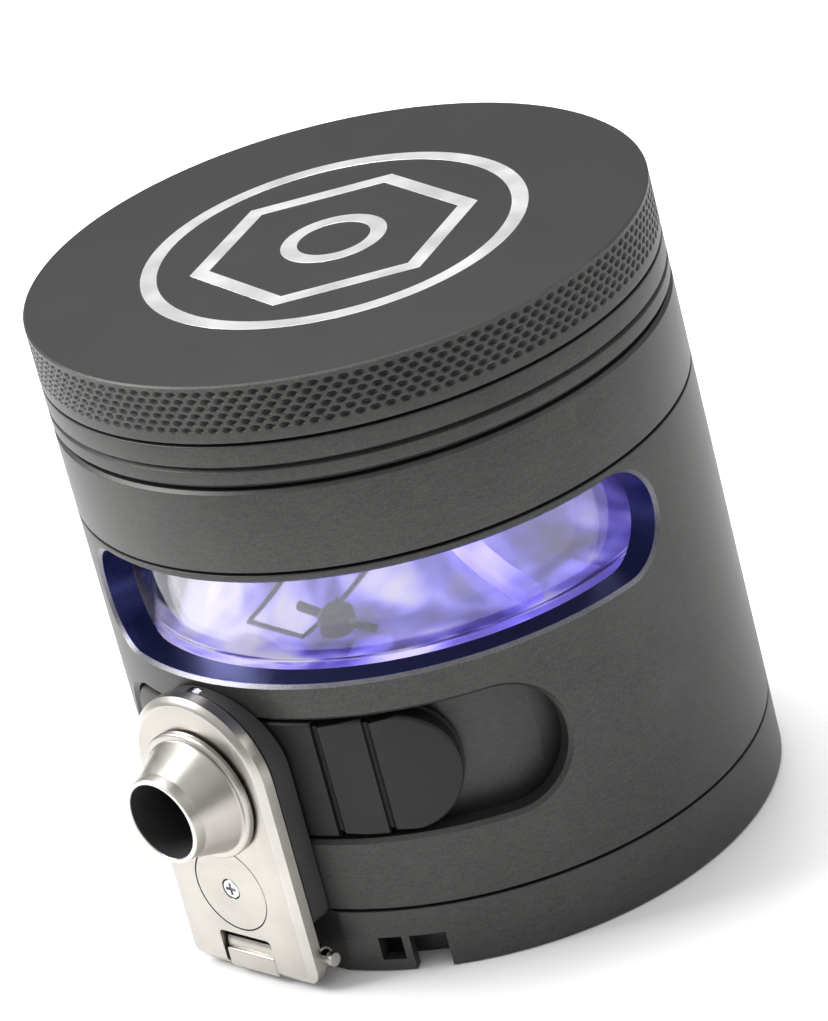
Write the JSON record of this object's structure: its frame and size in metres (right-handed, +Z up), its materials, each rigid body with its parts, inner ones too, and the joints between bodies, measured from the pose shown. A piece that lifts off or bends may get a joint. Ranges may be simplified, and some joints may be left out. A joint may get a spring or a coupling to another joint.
{
  "type": "hand grinder with powered dispenser",
  "caption": "Cylindrical metal hand grinder with toothed lid, lit window, slide switch, powered auger and a hinged nozzle door.",
  "frame": {"origin": "centre of the flat underside, on the body's axis", "axes": "+Z up along the body's axis; the nozzle door faces -Y; +X is to the right of the door"},
  "size_m": [0.063, 0.0726, 0.065],
  "materials": {
    "gunmetal": "blasted and anodised",
    "slide_metal": "matt anodised",
    "nickel": "satin nickel",
    "black_plastic": "moulded",
    "clear_plastic": "clear moulded plastic",
    "magnet": "nickel plated",
    "rubber": "matt",
    "steel": "turned",
    "brass": "stamped",
    "circuit_board": "solder mask",
    "led": "lit emitter",
    "battery_foil": "pouch foil",
    "nylon": "moulded"
  },
  "bodies": {
    "body": {"collar": "gunmetal", "bowl_seal": "rubber", "chamber_bowl": "clear_plastic", "clear_sleeve": "clear_plastic", "body_shell": "gunmetal", "latch_magnet": "magnet", "slide_track": "black_plastic", "led_board": "circuit_board", "led_1": "led", "led_2": "led", "led_3": "led", "led_4": "led", "led_5": "led", "led_6": "led", "auger_tube": "clear_plastic", "gearbox": "brass", "motor": "steel", "motor_strap": "steel", "chassis": "black_plastic", "return_spring": "steel", "slide_switch": "black_plastic", "main_board": "circuit_board", "battery": "battery_foil", "charge_port": "steel", "base_cup": "gunmetal", "foot_pad": "rubber", "base_screw_1": "steel", "base_screw_2": "steel", "base_screw_3": "steel", "hinge_knuckle": "nickel"},
    "grinder": {"tooth_plate": "gunmetal", "plate_magnet": "magnet"},
    "lid_ring": {"friction_ring": "nylon"},
    "lid": {"lid": "gunmetal", "lid_magnet": "magnet"},
    "slide": {"slide_button": "slide_metal"},
    "auger": {"auger": "steel", "auger_coupling": "black_plastic", "output_shaft": "steel"},
    "stirrer": {"stirrer": "steel"},
    "door": {"door_plate": "nickel", "door_backing": "black_plastic", "door_gasket": "rubber", "door_magnet": "magnet", "nozzle": "nickel", "magnet_cap": "nickel", "cap_screw": "steel", "hinge_pin": "steel"}
  },
  "joints": [
    {"name": "grinder_lift", "type": "slide", "parent": "body", "child": "grinder", "axis": [0, 0, 1], "range_m": [0, 0.03]},
    {"name": "lid_lift", "type": "slide", "parent": "grinder", "child": "lid_ring", "axis": [0, 0, 1], "range_m": [0, 0.03]},
    {"name": "lid_spin", "type": "hinge", "parent": "lid_ring", "child": "lid", "pos_m": [0, 0, 0.06], "axis": [0, 0, 1], "continuous": true},
    {"name": "slide_travel", "type": "hinge", "parent": "body", "child": "slide", "pos_m": [0, 0, 0.02187], "axis": [0, 0, 1], "range_deg": [0, 19.5], "stiffness_Nm_per_rad": 0.08, "springref_deg": -8.59},
    {"name": "auger_spin", "type": "hinge", "parent": "body", "child": "auger", "pos_m": [0, -0.012, 0.02187], "axis": [0, 1, 0], "continuous": true},
    {"name": "stirrer_spin", "type": "hinge", "parent": "body", "child": "stirrer", "pos_m": [0.0068, -0.0182, 0.03], "axis": [0, 0, 1], "continuous": true},
    {"name": "door_hinge", "type": "hinge", "parent": "body", "child": "door", "pos_m": [0, -0.033, 0.00335], "axis": [1, 0, 0], "range_deg": [0, 70]}
  ],
  "couplings": [
    {"joint": "stirrer_spin", "follows": "auger_spin", "ratio": -1}
  ]
}
